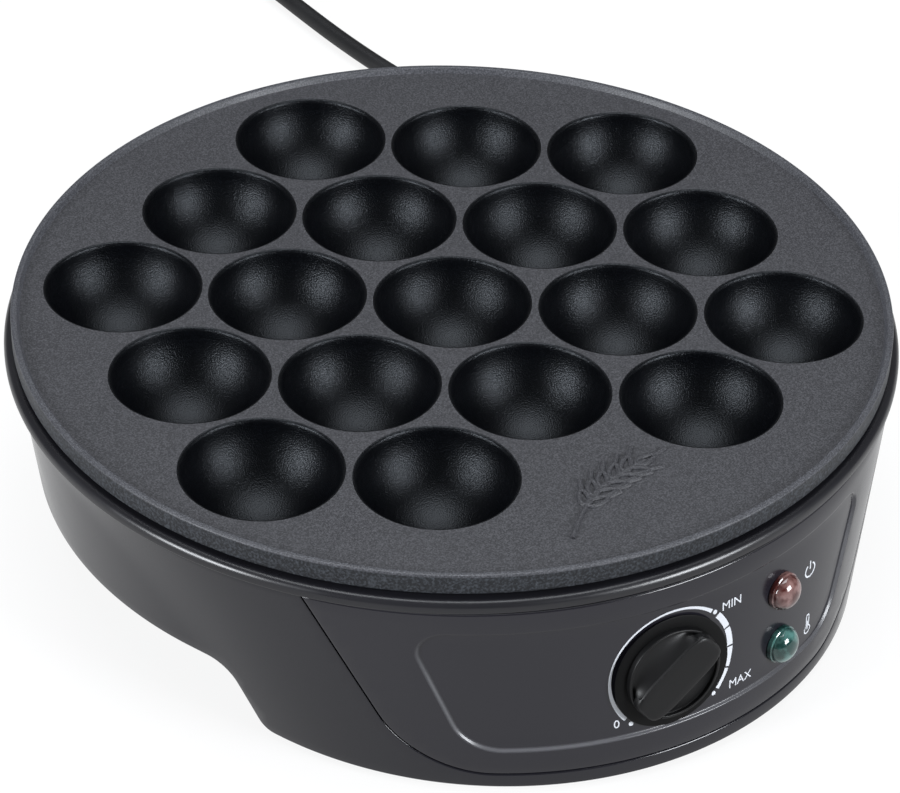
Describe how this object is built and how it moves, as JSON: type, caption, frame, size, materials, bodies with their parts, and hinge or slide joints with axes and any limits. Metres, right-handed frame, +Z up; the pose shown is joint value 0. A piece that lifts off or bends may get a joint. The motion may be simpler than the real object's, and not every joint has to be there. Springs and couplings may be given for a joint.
{
  "type": "ball-cake maker",
  "caption": "Round electric table-top ball-cake maker: cast plate with rows of half-round cups on a plastic housing with a thermostat dial, two pilot lamps and a mains cord.",
  "frame": {"origin": "on the table, at the middle of the object from the knob's front to the rear rim and from side to side", "axes": "+Z up, -Y out of the control panel, +X to the right of someone who faces the panel"},
  "size_m": [0.2488, 0.5215, 0.0655],
  "materials": {
    "plate_coating": "speckled non-stick coating",
    "steel": "plain",
    "sheet_metal": "bright sheet",
    "ceramic": "glazed",
    "brass": "plain",
    "copper_tone": "plain",
    "housing": "gloss",
    "housing_trim": "gloss",
    "panel": "gloss",
    "base_plastic": "fine grain",
    "inner_plastic": "plain",
    "foot_rubber": "matte",
    "knob": "gloss",
    "lens_red": "clear gloss",
    "lens_green": "clear gloss",
    "lamp_glass": "clear",
    "cord_rubber": "matte",
    "tie_plastic": "satin",
    "lead_brown": "sleeved",
    "lead_blue": "sleeved"
  },
  "bodies": {
    "housing": {"grill_plate": "plate_coating", "heating_element": "steel", "element_clips": "steel", "element_clip_screws": "steel", "reflector": "sheet_metal", "terminal_bushings": "ceramic", "post_spacers": "ceramic", "plate_screws": "steel", "rim_ring": "housing_trim", "body_shell": "housing", "base_cover": "base_plastic", "base_screws": "steel", "rubber_feet": "foot_rubber", "front_panel": "panel", "thermostat_bracket": "sheet_metal", "bracket_screws": "steel", "thermostat_body": "inner_plastic", "thermostat_nut": "brass", "sensor_capillary": "copper_tone", "power_lamp_lens": "lens_red", "ready_lamp_lens": "lens_green", "lamp_bodies": "lamp_glass", "cord_strain_relief": "cord_rubber", "strain_relief_lock": "inner_plastic", "inner_cord": "cord_rubber", "cord_clamp": "inner_plastic", "clamp_screws": "steel", "terminal_block": "ceramic", "terminal_screws": "brass", "lead_live": "lead_brown", "lead_neutral": "lead_blue", "lead_element": "lead_brown", "thermal_fuse": "sheet_metal", "mains_cord": "cord_rubber", "cord_coil": "cord_rubber", "cord_tie": "tie_plastic", "plug_body": "cord_rubber", "plug_blades": "brass"},
    "knob": {"control_knob": "knob", "thermostat_shaft": "steel"}
  },
  "joints": [
    {"name": "knob_turn", "type": "hinge", "parent": "housing", "child": "knob", "pos_m": [0, -0.11566, 0.0295], "axis": [0, 0.9956, -0.0938], "range_deg": [0, 270]}
  ]
}
